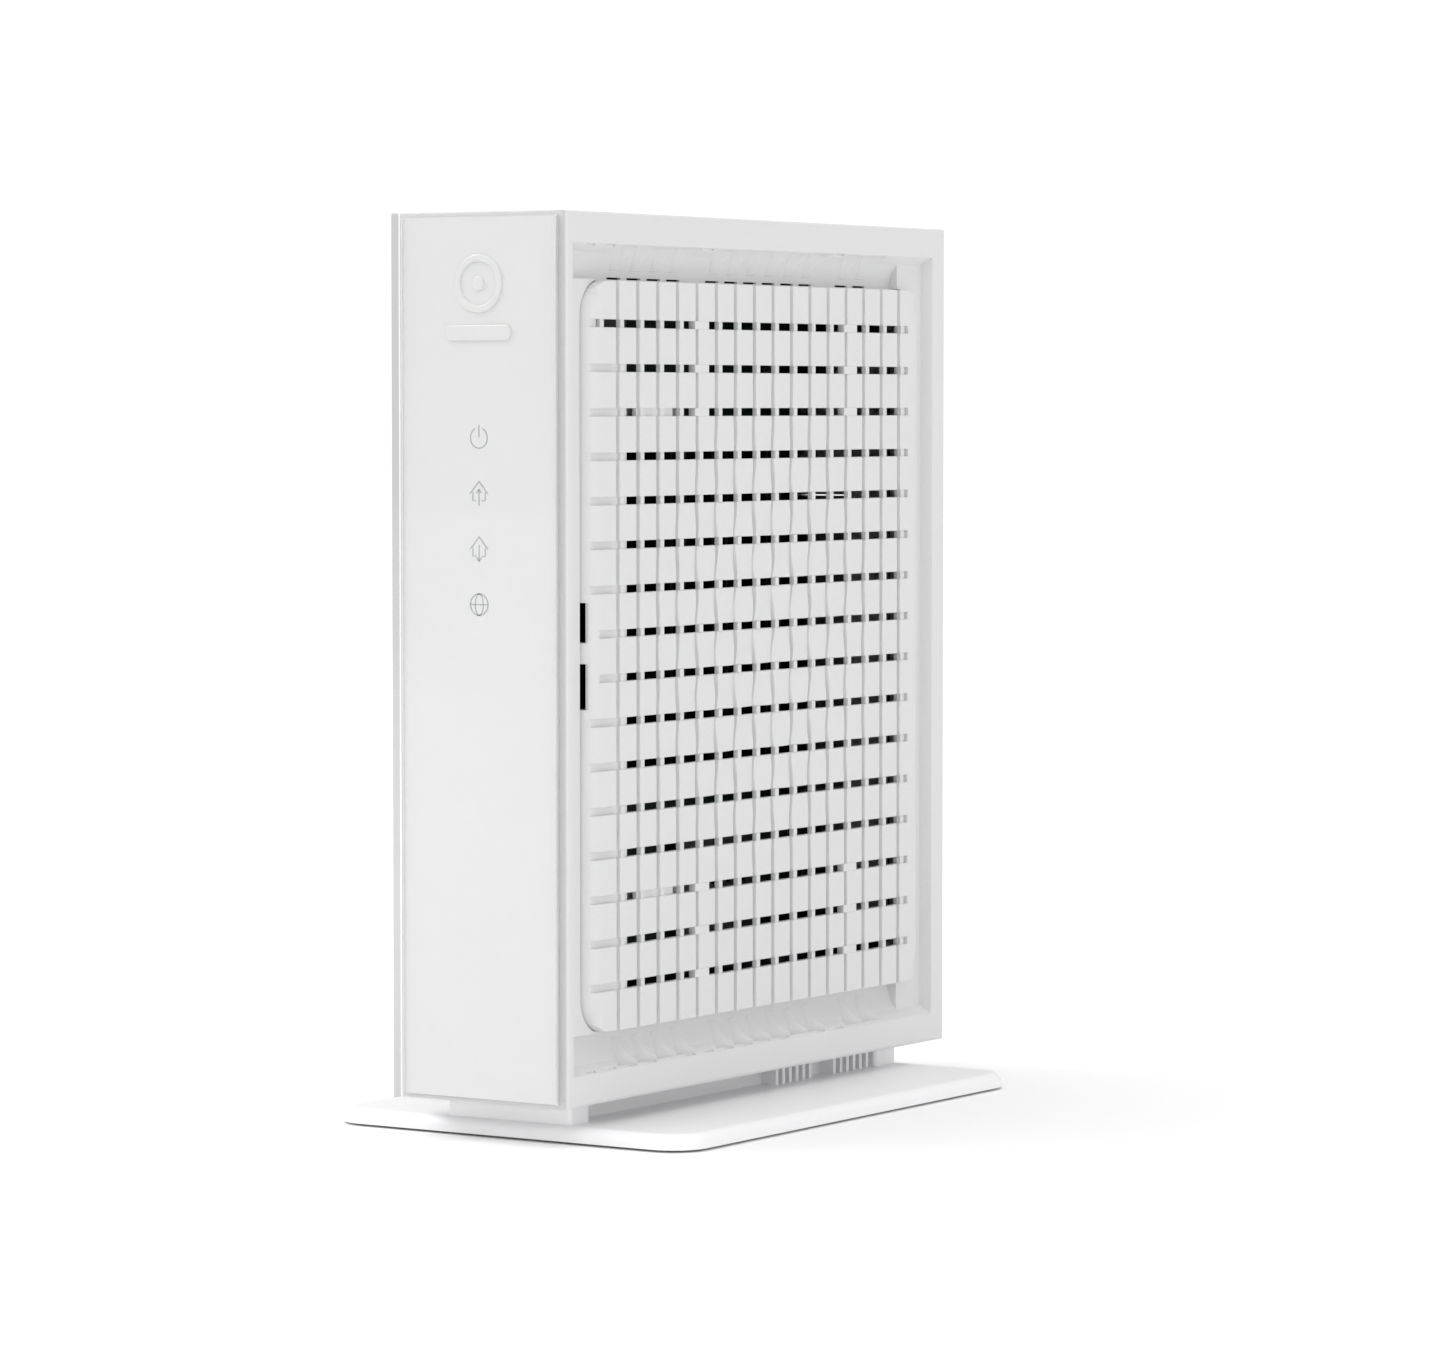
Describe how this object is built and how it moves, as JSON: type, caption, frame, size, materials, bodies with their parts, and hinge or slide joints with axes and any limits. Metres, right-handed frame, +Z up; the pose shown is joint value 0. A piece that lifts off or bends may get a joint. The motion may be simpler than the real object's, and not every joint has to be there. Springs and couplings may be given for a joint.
{
  "type": "wireless cable gateway router",
  "caption": "Slim upright wireless gateway with a clear-faced front, gridded vents on both sides, rear sockets and a flat lift-off stand.",
  "frame": {"origin": "on the table, under the middle of the whole object", "axes": "+Z up, -Y towards the glossy front, +Y towards the sockets, +X towards the right-hand vented side"},
  "size_m": [0.099, 0.167, 0.209],
  "materials": {
    "white_abs": "fine moulded texture, satin",
    "vent_abs": "fine moulded texture, satin",
    "stand_abs": "smooth moulded",
    "rear_abs": "fine moulded texture",
    "gloss_white": "polished moulding",
    "clear_acrylic": "polished clear acrylic",
    "foot_rubber": "moulded",
    "zinc_steel": "zinc plated",
    "tinned_steel": "tin plated sheet",
    "green_laminate": "solder mask over glass-epoxy",
    "black_epoxy": "moulded epoxy",
    "black_nylon": "moulded",
    "grey_silicone": "soft pad",
    "black_anodised": "anodised black",
    "capacitor_can": "sleeved can",
    "led_resin": "cast resin",
    "gold_plate": "gold plated",
    "nickel_brass": "nickel plated",
    "white_ptfe": "turned"
  },
  "bodies": {
    "stand": {"stand_base": "stand_abs", "stand_feet": "foot_rubber"},
    "housing": {"board_screws": "zinc_steel", "capacitors": "capacitor_can", "coax_centre_contact": "gold_plate", "coax_insulator": "white_ptfe", "coax_socket": "nickel_brass", "flash_chip": "black_epoxy", "front_carrier": "gloss_white", "front_lens": "clear_acrylic", "heatsink": "black_anodised", "heatsink_nuts": "zinc_steel", "heatsink_screws": "zinc_steel", "housing_screws": "zinc_steel", "indicator_leds": "led_resin", "lan_socket_1": "black_nylon", "lan_socket_2": "black_nylon", "lan_socket_3": "black_nylon", "lan_socket_4": "black_nylon", "lan_socket_contacts": "gold_plate", "lan_socket_shield_1": "tinned_steel", "lan_socket_shield_2": "tinned_steel", "lan_socket_shield_3": "tinned_steel", "lan_socket_shield_4": "tinned_steel", "left_shell": "white_abs", "left_vent_panel": "vent_abs", "light_guide": "clear_acrylic", "lower_antenna": "tinned_steel", "mainboard": "green_laminate", "memory_chips": "black_epoxy", "network_transformers": "black_epoxy", "pairing_switch": "black_nylon", "power_coils": "black_epoxy", "power_socket": "black_nylon", "power_socket_pin": "nickel_brass", "processor_chip": "black_epoxy", "rear_panel": "rear_abs", "rear_panel_screws": "zinc_steel", "reset_switch": "black_nylon", "right_shell": "white_abs", "right_vent_panel": "vent_abs", "thermal_pad": "grey_silicone", "tuner_chip": "black_epoxy", "tuner_shield_frame": "tinned_steel", "tuner_shield_lid": "tinned_steel", "upper_antenna": "tinned_steel", "wifi_chip": "black_epoxy", "wifi_shield_frame": "tinned_steel", "wifi_shield_lid": "tinned_steel"},
    "reset_plunger": {"reset_plunger": "black_nylon"},
    "pairing_button": {"pairing_button": "white_abs", "pairing_plunger": "black_nylon"}
  },
  "joints": [
    {"name": "housing_lift", "type": "slide", "parent": "stand", "child": "housing", "axis": [0, 0, 1], "range_m": [0, 0.03]},
    {"name": "reset_press", "type": "slide", "parent": "housing", "child": "reset_plunger", "axis": [0, -1, 0], "range_m": [0, 0.0003], "stiffness_N_per_m": 2500, "springref_m": -0.0002},
    {"name": "pairing_press", "type": "slide", "parent": "housing", "child": "pairing_button", "axis": [0, -1, 0], "range_m": [0, 0.0003], "stiffness_N_per_m": 2500, "springref_m": -0.0002}
  ]
}
